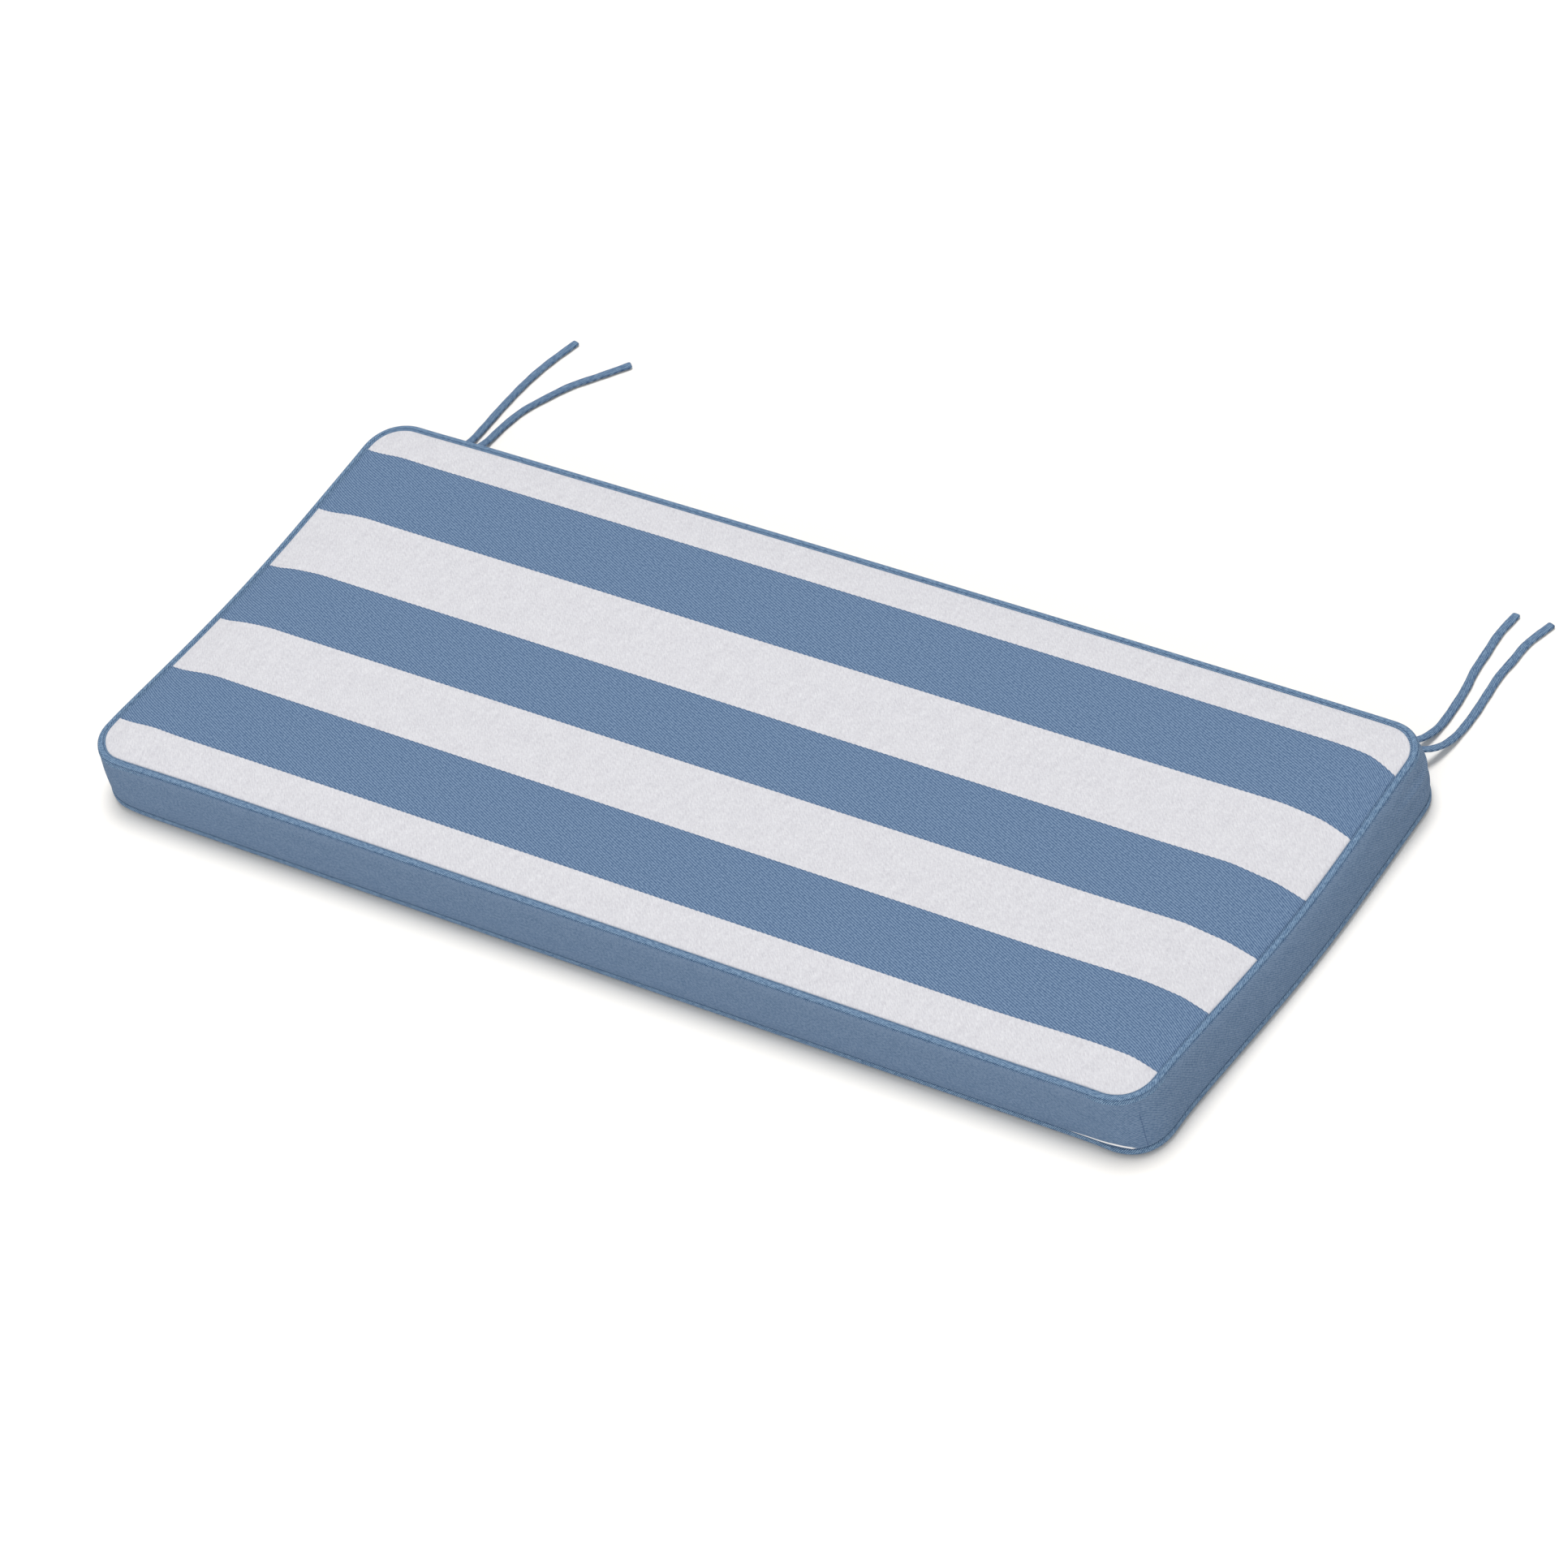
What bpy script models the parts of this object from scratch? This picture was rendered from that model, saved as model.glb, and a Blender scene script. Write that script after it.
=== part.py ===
"""Boxed bench cushion with welted edges and two pairs of back ties.

Metres, +Z up. The cushion lies on its underside: the origin is the middle of the underside, +X runs along
the length and +Y points to the back edge, where the ties are sewn on.
"""

from math import cos, exp, pi, radians, sin, sqrt

import bmesh
import bpy
from mathutils import Vector

# Driving dimensions of the cover, measured to the middle of its welts.
SEAM_LENGTH = 1.1136
SEAM_DEPTH = 0.4572
CORNER_RADIUS = 0.0345
TOP_SEAM_HEIGHT = 0.0550
BOTTOM_SEAM_HEIGHT = 0.0053
CROWN_HEIGHT = 0.0650

# The welt, and the groove that the cover's cloth leaves for it.
WELT_DIAMETER = 0.0090
GROOVE_RADIUS = 0.0052
TOP_GROOVE_ANGLES = (130, 175, 220, 265, 310)
BOTTOM_GROOVE_ANGLES = (55, 100, 145, 190, 235)

# How far in from the seam the crown levels out, at the ends and along the long sides.
END_SLOPE = 0.075
SIDE_SLOPE = 0.045

# The boxing band swells between its seams. Each row is a fraction of the way down from the top groove.
BOXING_ROWS = (0.12, 0.36, 0.64, 0.88)
BOXING_SWELL = 0.0030

# The underside is flat inside this distance from the bottom seam.
UNDERSIDE_INSET = 0.0090

# Between its corners each side bows out (or in, if negative) and sags, most at its middle.
# Columns: outward direction, bow of the top seam, bow of the bottom seam, sag of the top seam.
SIDES = {
    "left": ((-1, 0), -0.0031, 0.0004, 0.0104),
    "right": ((1, 0), 0.0026, 0.0060, 0.0093),
    "front": ((0, -1), -0.0005, 0.0005, 0.0002),
    "back": ((0, 1), 0.0013, 0.0000, -0.0010),
}
SIDE_REACH = 0.120

# Each corner is sewn and filled a little differently.
# Columns: quadrant, lift of the top seam, outward reach of both seams, extra swell of the boxing.
CORNERS = {
    "front_right": ((1, -1), 0.0032, 0.0025, 0.0010),
    "back_right": ((1, 1), -0.0006, -0.0008, 0.0026),
    "back_left": ((-1, 1), -0.0005, 0.0021, 0.0010),
    "front_left": ((-1, -1), -0.0037, -0.0027, 0.0000),
}
LIFT_SPREAD = 0.080
REACH_SPREAD = 0.030
SWELL_SPREAD = 0.045

# The right side bows out further than the left one, so the plan is moved to keep the origin central.
PLAN_SHIFT_X = -0.0020

# Grid lines of the panels: distances in from the end seams, then equal steps between the innermost ones.
END_LINES = (0.050, 0.075, 0.110)
MIDDLE_STEPS = 18
CORNER_STEPS = 3

# Blue stripes of the panels: the back and the front edge of each. The cloth between them is white.
BLUE_STRIPES = ((0.1870, 0.1095), (0.0305, -0.0405), (-0.1120, -0.1850))

# Ties: flat sewn strips. Each leaves the back boxing at its root, falls to the ground and lies there.
TIE_WIDTH = 0.0080
TIE_THICKNESS = 0.0026
TIE_GAP = 0.0003
TIE_SPACING = 0.0120
TIE_LYING_HEIGHT = TIE_THICKNESS / 2 + 0.0005  # middle of a tie that lies on the ground
TIE_LEAD = 0.0070
ROUTE_STEPS = 24
ROOT_FRACTION = 0.74  # of the way down the boxing
ROOT_SPAN = 0.10  # of the boxing's height, over which the tie's root reads its slope
# Columns: x of the root, then the route past it as x, y and the rise above the height of a lying tie.
TIES = {
    "tie_left_outer": (-0.5150, (
        (-0.5145, 0.2560, 0.0095), (-0.5145, 0.2700, 0.0035), (-0.5150, 0.2850, 0.0006),
        (-0.5155, 0.3050, 0), (-0.5160, 0.3300, 0), (-0.5150, 0.3640, 0),
        (-0.5110, 0.3940, 0), (-0.5020, 0.4300, 0),
    )),
    "tie_left_inner": (-0.5035, (
        (-0.5020, 0.2570, 0.0105), (-0.5005, 0.2710, 0.0048), (-0.5000, 0.2860, 0.0010),
        (-0.4985, 0.3100, 0), (-0.4940, 0.3320, 0), (-0.4850, 0.3520, 0),
        (-0.4710, 0.3770, 0), (-0.4540, 0.3970, 0), (-0.4330, 0.4220, 0),
    )),
    "tie_right_inner": (0.5120, (
        (0.5150, 0.2560, 0.0092), (0.5185, 0.2700, 0.0036), (0.5205, 0.2880, 0.0004),
        (0.5195, 0.3120, 0), (0.5170, 0.3350, 0), (0.5130, 0.3560, 0),
        (0.5110, 0.3790, 0), (0.5090, 0.4040, 0), (0.5110, 0.4300, 0),
    )),
    "tie_right_outer": (0.5270, (
        (0.5345, 0.2530, 0.0098), (0.5385, 0.2670, 0.0042), (0.5402, 0.2860, 0.0006),
        (0.5400, 0.3100, 0), (0.5380, 0.3340, 0), (0.5360, 0.3580, 0),
        (0.5370, 0.3790, 0), (0.5380, 0.4020, 0), (0.5460, 0.4300, 0),
    )),
}

# Cloth colours, linear RGB.
BLUE = (0.135, 0.235, 0.390, 1.0)
WHITE = (0.760, 0.760, 0.790, 1.0)
WELT_BLUE = (0.155, 0.285, 0.440, 1.0)
CLOTH_ROUGHNESS = 0.85
SMOOTH_ANGLE = radians(42)

HALF_LENGTH = SEAM_LENGTH / 2
HALF_DEPTH = SEAM_DEPTH / 2


def clear_scene():
    for obj in list(bpy.data.objects):
        bpy.data.objects.remove(obj, do_unlink=True)


def cloth(name, colour):
    material = bpy.data.materials.new(name)
    material.use_nodes = True
    shader = material.node_tree.nodes["Principled BSDF"]
    shader.inputs["Base Color"].default_value = colour
    shader.inputs["Roughness"].default_value = CLOTH_ROUGHNESS
    shader.inputs["Metallic"].default_value = 0.0
    return material


def ease(fraction):
    """0 at the seam, rising steeply at first and levelling out at 1."""
    fraction = min(max(fraction, 0.0), 1.0)
    return 1 - (1 - fraction) ** 2


def side_weight(x, y, direction):
    """1 at the middle of the named side, 0 at its corners and further in than SIDE_REACH."""
    across = x * direction[0] + y * direction[1]
    half_across = HALF_LENGTH if direction[0] else HALF_DEPTH
    along = y / HALF_DEPTH if direction[0] else x / HALF_LENGTH
    near = 1 - (half_across - across) / SIDE_REACH
    return min(max(near, 0.0), 1.0) * max(cos(along * pi / 2), 0.0)


def corner_weight(x, y, quadrant, spread):
    """1 at the named corner, fading with distance from it."""
    distance = sqrt((x - quadrant[0] * HALF_LENGTH) ** 2 + (y - quadrant[1] * HALF_DEPTH) ** 2)
    return exp(-(distance / spread) ** 2)


def plan_shift(x, y, top):
    """How far the cloth over plan point x, y is pulled sideways; top is 1 at the top seam, 0 at the other."""
    shift = Vector((PLAN_SHIFT_X, 0, 0))
    for direction, top_bow, bottom_bow, _ in SIDES.values():
        bow = bottom_bow + (top_bow - bottom_bow) * top
        shift += Vector((*direction, 0)) * bow * side_weight(x, y, direction)
    for quadrant, _, reach, _ in CORNERS.values():
        shift += Vector((*quadrant, 0)).normalized() * reach * corner_weight(x, y, quadrant, REACH_SPREAD)
    return shift


def top_seam_height(x, y):
    """Height of the middle of the top welt beside plan point x, y."""
    height = TOP_SEAM_HEIGHT
    for direction, _, _, sag in SIDES.values():
        height -= sag * side_weight(x, y, direction)
    for quadrant, lift, _, _ in CORNERS.values():
        height += lift * corner_weight(x, y, quadrant, LIFT_SPREAD)
    return height


def crown_height(x, y):
    """Height of the top panel over plan point x, y."""
    seam = top_seam_height(x, y) + GROOVE_RADIUS * sin(radians(TOP_GROOVE_ANGLES[0]))
    level = ease((HALF_LENGTH - abs(x)) / END_SLOPE) * ease((HALF_DEPTH - abs(y)) / SIDE_SLOPE)
    return seam + (CROWN_HEIGHT - seam) * level


def boxing_swell(x, y):
    """How far the boxing stands proud at its middle height beside plan point x, y."""
    swell = BOXING_SWELL
    for quadrant, _, _, extra in CORNERS.values():
        swell += extra * corner_weight(x, y, quadrant, SWELL_SPREAD)
    return swell


def corner_lines(half):
    """Grid lines that cross the rounded corners, out to the 45 degree point of each arc."""
    step = pi / 4 / CORNER_STEPS
    return [half - CORNER_RADIUS * (1 - sin(step * k)) for k in range(CORNER_STEPS + 1)]


def grid_lines():
    """The x values and the y values of the panels' grid."""
    inner = HALF_LENGTH - END_LINES[-1]
    middle = [inner * (2 * k / MIDDLE_STEPS - 1) for k in range(MIDDLE_STEPS + 1)]
    ends = [HALF_LENGTH - d for d in reversed(END_LINES[:-1])] + corner_lines(HALF_LENGTH)
    xs = [-x for x in reversed(ends)] + middle + ends
    stripes = sorted(edge for stripe in BLUE_STRIPES for edge in stripe)
    centres = [(a + b) / 2 for a, b in zip(stripes, stripes[1:])]
    edges = corner_lines(HALF_DEPTH)
    ys = [-y for y in reversed(edges)] + sorted(stripes + centres) + edges
    return xs, ys


def outline_point(x, y):
    """The seam's plan point and outward direction beside grid point x, y on the outermost grid line."""
    signs = Vector((1 if x > 0 else -1, 1 if y > 0 else -1, 0))
    arc_x = HALF_LENGTH - CORNER_RADIUS
    arc_y = HALF_DEPTH - CORNER_RADIUS
    # Past the straight run, one coordinate stays on its grid line and the other moves out to the arc.
    past_x = max(abs(x) - arc_x, 0)
    past_y = max(abs(y) - arc_y, 0)
    if past_x > past_y:
        past_x = sqrt(CORNER_RADIUS ** 2 - past_y ** 2)
    else:
        past_y = sqrt(CORNER_RADIUS ** 2 - past_x ** 2)
    outward = Vector((past_x, past_y, 0)).normalized()
    point = Vector((min(abs(x), arc_x), min(abs(y), arc_y), 0)) + outward * CORNER_RADIUS
    return point * signs, outward * signs


def seam_point(plan, top):
    """Middle of the welt beside a plan point of the outline; top is 1 for the top seam, 0 for the bottom."""
    height = top_seam_height(plan.x, plan.y) if top else BOTTOM_SEAM_HEIGHT
    return Vector((plan.x, plan.y, height)) + plan_shift(plan.x, plan.y, top)


def groove_point(plan, outward, top, angle):
    """A point of the groove, at an angle round the welt: 0 points outward and 90 up."""
    turn = radians(angle)
    out = Vector((outward.x * cos(turn), outward.y * cos(turn), sin(turn)))
    return seam_point(plan, top) + out * GROOVE_RADIUS


def boxing_point(plan, outward, fraction):
    """A point of the boxing, at a fraction of the way down from the top groove to the bottom one."""
    upper = groove_point(plan, outward, 1, TOP_GROOVE_ANGLES[-1])
    lower = groove_point(plan, outward, 0, BOTTOM_GROOVE_ANGLES[0])
    swell = boxing_swell(plan.x, plan.y) * sin(pi * fraction)
    return upper.lerp(lower, fraction) + outward * swell


def underside_point(plan, outward):
    """A point of the ring inside which the underside is flat on the ground."""
    point = seam_point(plan, 0) - outward * UNDERSIDE_INSET
    point.z = 0
    return point


def cover_rows():
    """The rings of the cover below the top panel, from the top seam down to the underside."""
    rows = [lambda p, n, a=a: groove_point(p, n, 1, a) for a in TOP_GROOVE_ANGLES[1:]]
    rows += [lambda p, n, f=f: boxing_point(p, n, f) for f in BOXING_ROWS]
    rows += [lambda p, n, a=a: groove_point(p, n, 0, a) for a in BOTTOM_GROOVE_ANGLES]
    rows.append(underside_point)
    return rows


def link_object(name, data, collection, material):
    collection.objects.link(bpy.data.objects.new(name, data))
    data.materials.append(material)


def in_blue_stripe(y):
    return any(front < y < back for back, front in BLUE_STRIPES)


def lay_top_panel(bm, station):
    """A grid crowned over the filling. Returns the outline's points by the border vertices' station numbers."""
    xs, ys = grid_lines()
    last_x, last_y = len(xs) - 1, len(ys) - 1
    bmesh.ops.create_grid(bm, x_segments=last_x, y_segments=last_y, size=1)
    outline = {}
    for vert in bm.verts:
        i = round((vert.co.x + 1) / 2 * last_x)
        j = round((vert.co.y + 1) / 2 * last_y)
        if i in (0, last_x) or j in (0, last_y):
            vert[station] = i * len(ys) + j
            outline[vert[station]] = outline_point(xs[i], ys[j])
            vert.co = groove_point(*outline[vert[station]], 1, TOP_GROOVE_ANGLES[0])
        else:
            vert.co = Vector((xs[i], ys[j], crown_height(xs[i], ys[j]))) + plan_shift(xs[i], ys[j], 1)
    for face in bm.faces:
        face.material_index = 0 if in_blue_stripe(face.calc_center_median().y) else 1
    return outline


def draw_down_sides(bm, station, outline):
    """The top panel's border drawn down ring by ring to the underside. Returns the last ring's edges."""
    rim = [edge for edge in bm.edges if edge.is_boundary]
    for row in cover_rows():
        drawn = bmesh.ops.extrude_edge_only(bm, edges=rim)["geom"]
        rim = []
        for item in drawn:
            if isinstance(item, bmesh.types.BMVert):
                item.co = row(*outline[item[station]])
            elif isinstance(item, bmesh.types.BMFace):
                item.material_index = 0
            elif item.is_boundary:
                rim.append(item)
    return rim


def build_cushion(collection, blue, white):
    """The filled cover, one closed solid."""
    bm = bmesh.new()
    station = bm.verts.layers.int.new("station")
    outline = lay_top_panel(bm, station)
    rim = draw_down_sides(bm, station, outline)
    for face in bmesh.ops.contextual_create(bm, geom=rim)["faces"]:
        face.material_index = 1
    bmesh.ops.recalc_face_normals(bm, faces=bm.faces)
    mesh = bpy.data.meshes.new("cushion")
    bm.to_mesh(mesh)
    bm.free()
    link_object("cushion", mesh, collection, blue)
    mesh.materials.append(white)
    mesh.shade_smooth()
    mesh.set_sharp_from_angle(angle=SMOOTH_ANGLE)


def outline_loop():
    """Plan points of the outline in order round the cushion."""
    xs, ys = grid_lines()
    front = [(x, ys[0]) for x in xs]
    right = [(xs[-1], y) for y in ys[1:]]
    back = [(x, ys[-1]) for x in reversed(xs[:-1])]
    left = [(xs[0], y) for y in reversed(ys[1:-1])]
    return [outline_point(x, y)[0] for x, y in front + right + back + left]


def build_welt(name, top, collection, material):
    """A closed round cord along one of the two seams."""
    curve = bpy.data.curves.new(name, "CURVE")
    curve.dimensions = "3D"
    curve.bevel_depth = WELT_DIAMETER / 2
    curve.bevel_resolution = 2
    points = [seam_point(plan, top) for plan in outline_loop()]
    spline = curve.splines.new("POLY")
    spline.points.add(len(points) - 1)
    for target, point in zip(spline.points, points):
        target.co = (*point, 1)
    spline.use_cyclic_u = True
    spline.use_smooth = True
    link_object(name, curve, collection, material)


def tie_route(root_x, past_root):
    """The points that a tie follows: out of the back boxing at right angles, then its own route."""
    plan, outward = outline_point(root_x, HALF_DEPTH)
    root = boxing_point(plan, outward, ROOT_FRACTION)
    up = boxing_point(plan, outward, ROOT_FRACTION - ROOT_SPAN) - root
    facing = up.cross(Vector((outward.y, -outward.x, 0))).normalized()
    root += facing * TIE_GAP
    ground = Vector((PLAN_SHIFT_X, 0, TIE_LYING_HEIGHT))
    return [root, root + facing * TIE_LEAD] + [Vector(point) + ground for point in past_root]


def smooth_route(points, spacing):
    """Points at an even spacing on a smooth curve through the given ones."""
    padded = [points[0] * 2 - points[1]] + points + [points[-1] * 2 - points[-2]]
    dense = []
    for a, b, c, d in zip(padded, padded[1:], padded[2:], padded[3:]):
        for k in range(ROUTE_STEPS):
            t = k / ROUTE_STEPS
            dense.append(0.5 * (2 * b + (c - a) * t + (2 * a - 5 * b + 4 * c - d) * t ** 2
                                + (3 * b - a - 3 * c + d) * t ** 3))
    dense.append(points[-1])
    length = sum((q - p).length for p, q in zip(dense, dense[1:]))
    count = round(length / spacing)
    route, travelled, wanted = [dense[0]], 0.0, length / count
    for p, q in zip(dense, dense[1:]):
        step = (q - p).length
        while travelled + step >= wanted * len(route) and len(route) < count:
            route.append(p.lerp(q, (wanted * len(route) - travelled) / step))
        travelled += step
    return route + [dense[-1]]


def build_tie(name, root_x, past_root, collection, material):
    """A flat strip: a curve extruded to the strip's width, with round edges of its thickness."""
    curve = bpy.data.curves.new(name, "CURVE")
    curve.dimensions = "3D"
    curve.twist_mode = "Z_UP"
    curve.extrude = (TIE_WIDTH - TIE_THICKNESS) / 2
    curve.bevel_depth = TIE_THICKNESS / 2
    curve.bevel_resolution = 1
    curve.use_fill_caps = True
    points = smooth_route(tie_route(root_x, past_root), TIE_SPACING)
    spline = curve.splines.new("POLY")
    spline.points.add(len(points) - 1)
    for target, point in zip(spline.points, points):
        target.co = (*point, 1)
        target.tilt = pi / 2
    spline.use_smooth = True
    link_object(name, curve, collection, material)


def main():
    clear_scene()
    collection = bpy.data.collections.new("bench_cushion")
    bpy.context.scene.collection.children.link(collection)
    build_cushion(collection, cloth("striped_blue", BLUE), cloth("striped_white", WHITE))
    build_welt("welt_top", 1, collection, cloth("welt_top_cloth", WELT_BLUE))
    build_welt("welt_bottom", 0, collection, cloth("welt_bottom_cloth", WELT_BLUE))
    for name, (root_x, past_root) in TIES.items():
        build_tie(name, root_x, past_root, collection, cloth(name + "_cloth", WELT_BLUE))


main()
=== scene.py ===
"""Looks of the boxed bench cushion: striped cover, welted seams and two pairs of flat back ties.

Metres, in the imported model's frame: +X along the cushion, +Y to the back edge with the ties, +Z up.
"""

from math import cos, pi, radians, sin, sqrt

import bmesh
import bpy
import numpy as np
from mathutils import Matrix, Vector


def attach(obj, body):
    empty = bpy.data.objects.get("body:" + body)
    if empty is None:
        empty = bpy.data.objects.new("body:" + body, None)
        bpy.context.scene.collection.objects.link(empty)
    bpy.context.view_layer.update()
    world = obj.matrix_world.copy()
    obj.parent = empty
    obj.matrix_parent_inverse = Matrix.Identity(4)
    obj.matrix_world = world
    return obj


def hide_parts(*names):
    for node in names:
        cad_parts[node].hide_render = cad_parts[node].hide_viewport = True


# ---------------------------------------------------------------- camera, light and floor
CAMERA_PLACE = (3.5479, -3.3363, 4.3518)
CAMERA_AZIMUTH = radians(46.4501)
CAMERA_ELEVATION = radians(41.7974)
CAMERA_ROLL = radians(-17.1379)
SENSOR = 36.0
LENS = 175.534

SKY_STRENGTH = 0.50
# Name, direction that the light goes, strength and spread.
LAMPS = (
    ("key_light", (0.11, -0.24, -1.0), 1.96, radians(28)),
    ("fill_light", (-0.35, 1.0, -0.35), 0.80, radians(40)),
)
LIGHT_LEVEL = 1.19      # how bright the lamps and the sky together show a white, level surface
FLOOR_HALF = 40.0
FLOOR_HEIGHT = -0.0004
FLOOR_WHITE = (1.0, 0.97, 0.925, 1)

# ---------------------------------------------------------------- shape of the cover, as in the solids
SEAM_LENGTH = 1.1136
SEAM_DEPTH = 0.4572
HALF_LENGTH = SEAM_LENGTH / 2
HALF_DEPTH = SEAM_DEPTH / 2
CORNER_RADIUS = 0.0345
ARC_X = HALF_LENGTH - CORNER_RADIUS
ARC_Y = HALF_DEPTH - CORNER_RADIUS
TOP_SEAM_HEIGHT = 0.0550
BOTTOM_SEAM_HEIGHT = 0.0053
CROWN_HEIGHT = 0.0650
WELT_RADIUS = 0.0045
END_SLOPE = 0.075
SIDE_SLOPE = 0.045
PLAN_SHIFT_X = -0.0020  # keeps the origin central, as the right side bows out further than the left one

# Outward direction, bow of the top seam, bow of the bottom seam, sag of the top seam, and where
# along the side these are largest and how far from there they fade out.
SIDES = {
    "left": ((-1, 0), -0.0023, 0.0004, 0.0104, 0.000, 0.300),
    "right": ((1, 0), 0.0030, 0.0072, 0.0093, 0.015, 0.230),
    "front": ((0, -1), -0.0005, 0.0005, 0.0002, 0.000, 0.730),
    "back": ((0, 1), 0.0013, 0.0000, -0.0010, 0.000, 0.730),
}
SIDE_REACH = 0.120
BOTTOM_FLARE = 0.0026   # how much wider the bottom seam lies all round

# Quadrant, lift of the top seam, outward reach of the top and the bottom seam, extra swell of the
# boxing, and lift of the bottom seam.
CORNERS = {
    "front_right": ((1, -1), 0.0020, 0.0025, 0.0060, 0.0010, 0.0000),
    "back_right": ((1, 1), -0.0006, -0.0008, -0.0028, 0.0026, 0.0000),
    "back_left": ((-1, 1), -0.0005, 0.0021, 0.0021, 0.0010, 0.0000),
    "front_left": ((-1, -1), -0.0007, -0.0038, -0.0066, 0.0000, 0.0040),
}
LIFT_SPREAD = 0.080
REACH_SPREAD = 0.030
SWELL_SPREAD = 0.045

# Where the cloth meets each welt, as an angle round the welt: 0 points outward and 90 up.
PANEL_CONTACT = 126
BOXING_TOP_CONTACT = 39
BOXING_BOTTOM_CONTACT = 34
UNDERSIDE_CONTACT = 255
CONTACT_RADIUS = 0.0044
TUCK_RADIUS = 0.0038
TOP_TUCK = (180, 250, 330)
BOTTOM_TUCK = (85, 150, 215)
BOXING_ROWS = (0, 0.012, 0.03, 0.06, 0.12, 0.18, 0.24, 0.30, 0.355, 0.41, 0.465, 0.52, 0.58, 0.65, 0.72,
               0.78, 0.88, 0.94, 0.975, 1)
BOXING_SWELL = 0.0012
SHOULDER = 0.0018           # how far the boxing bulges over each welt
SHOULDER_BEND = 0.0011      # the distance within which it does so
BOXING_DEPTH = 0.048        # its height along the cloth
# Soft folds of the boxing: place along the outline, share of the way down, half length, half height as a
# share, and how far out.
BOXING_FOLDS = (
    (1.503, 0.41, 0.024, 0.060, 0.0018),
    (1.538, 0.58, 0.012, 0.080, -0.0024),
    (1.517, 0.27, 0.024, 0.060, -0.0012),
    (1.500, 0.55, 0.022, 0.060, -0.0015),
    (1.130, 0.35, 0.016, 0.25, 0.0006),
    (0.240, 0.45, 0.060, 0.20, -0.0004),
    (0.560, 0.60, 0.080, 0.18, 0.0005),
    (0.830, 0.35, 0.070, 0.20, -0.0004),
)

# The base mesh: spacing of the panel's grid, and the rings between the grid and the top seam.
GRID_SPACING = 0.0072
PANEL_INSET = 0.0240
PANEL_RINGS = (0.0180, 0.0125, 0.0085, 0.0055)
UNDERSIDE_RINGS = (0.0090,)
CORNER_STEPS = 5

# The filling's pressure: the cloth starts this far inside its shape and may move out as far again.
SWELL = 0.0016
SWELL_FRAMES = 20
SWELL_PRESSURE = 4
HELD_SHARE = 0.02           # of the boxing beside each welt, which the seam holds

# ---------------------------------------------------------------- welts
WELT_SPACING = 0.0026
WELT_SIDES = 16

# ---------------------------------------------------------------- cloth
# Materials of the cover. The ring where the panel meets the welt is sewn down, but has the panel's cloth.
TOP, BOXING, UNDER, SEAM = 0, 1, 2, 3
BLUE_STRIPES = ((0.1858, 0.1070), (0.0307, -0.0431), (-0.1121, -0.1869))    # back and front edge of each
STRIPE_STEPS = 0.00022          # how far the ribs push a stripe's edge
STRIPE_FRAY = 0.0010            # how far loose fibres do
STRIPE_SOFTNESS = 0.0004
RIM_WIDTH = 0.0010              # of the darker blue just inside a stripe's edge
RIM_SOFTNESS = 0.0006
TWILL_PITCH = 0.00204
TWILL_ANGLE = radians(22.5)     # of the ribs below the cushion's length
BOXING_PITCH = 0.00132
BOXING_ANGLE = radians(39)      # of the finer ribs below the band's length
WELT_PITCH = 0.0013
WELT_ANGLE = radians(-45)       # of the ribs on the bias-cut welts
WELT_LINES = (40, 111)          # angles round the welt of the dark lines beside it: stitching, with painted shade of the seam's crevice
WELT_LINE_WIDTH = (0.0004, 0.0007)  # half width and softness
TIE_PITCH = 0.00135
TIE_ANGLE = radians(12)
TIE_SHADE_LINE = 0.0036               # from a tie's middle to the painted shade along its edges
TIE_SHADE_LINE_WIDTH = (0.0003, 0.0005)   # half width and softness
SEAM_PLACE = 1.101              # of the boxing's upright seam, along the outline
SEAM_TOP = 0.22                 # share of the way down where it starts to show
SEAM_HALF_WIDTH = 0.00035
SEAM_SOFTNESS = 0.0007
SEAM_WANDER = 0.0015            # how far it strays sideways
SEAM_STITCH = 0.0022
CREASE_SHARE = 0.022            # of the boxing that is painted in shade beside each welt
PAINTED_LIGHT_SHARE = 0.20               # of the boxing that carries painted light, below the top welt
# The gap at the bottom seam, where the white cloth of the underside shows.
GAP_MIDDLE = 1.077
GAP_REACH = (0.044, 0.0160)     # from there to its left and right ends
GAP_LEVEL = 0.918               # share of the way down at its middle
GAP_DROP = 0.068                # how much lower its two ends lie
GAP_HALF_WIDTH = 0.024
GAP_SOFTNESS = 0.010

# How the top cloth was pulled askew. Towards the right end the print shifts back from this x on, over this
# length, by this much, and by this share of y less.
RIGHT_TURN = (0.38, 0.12, 0.0011, 0.0052)
RIGHT_RISE = (0.527, 0.012, 0.0007)         # middle, half length and amount of a small shift back
RIGHT_DROP = (0.508, 0.040, 1.3, 0.0015)    # start, length, limit and amount of the shift forward at the seam
# Way in y, how far out that way it begins, over what length, and how much more the print shifts forward.
RIGHT_DROP_MORE = ((1, 0.03, 0.16, 0.0057), (-1, 0.05, 0.06, 0.0015))
LEFT_RISE = (-0.513, 0.040, 1.2, 0.0055)    # start, length, limit and amount of the shift back at the seam
LEFT_BEND = (-0.514, 0.022, 0.0019)         # middle, half length and amount of the shift back before it

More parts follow.
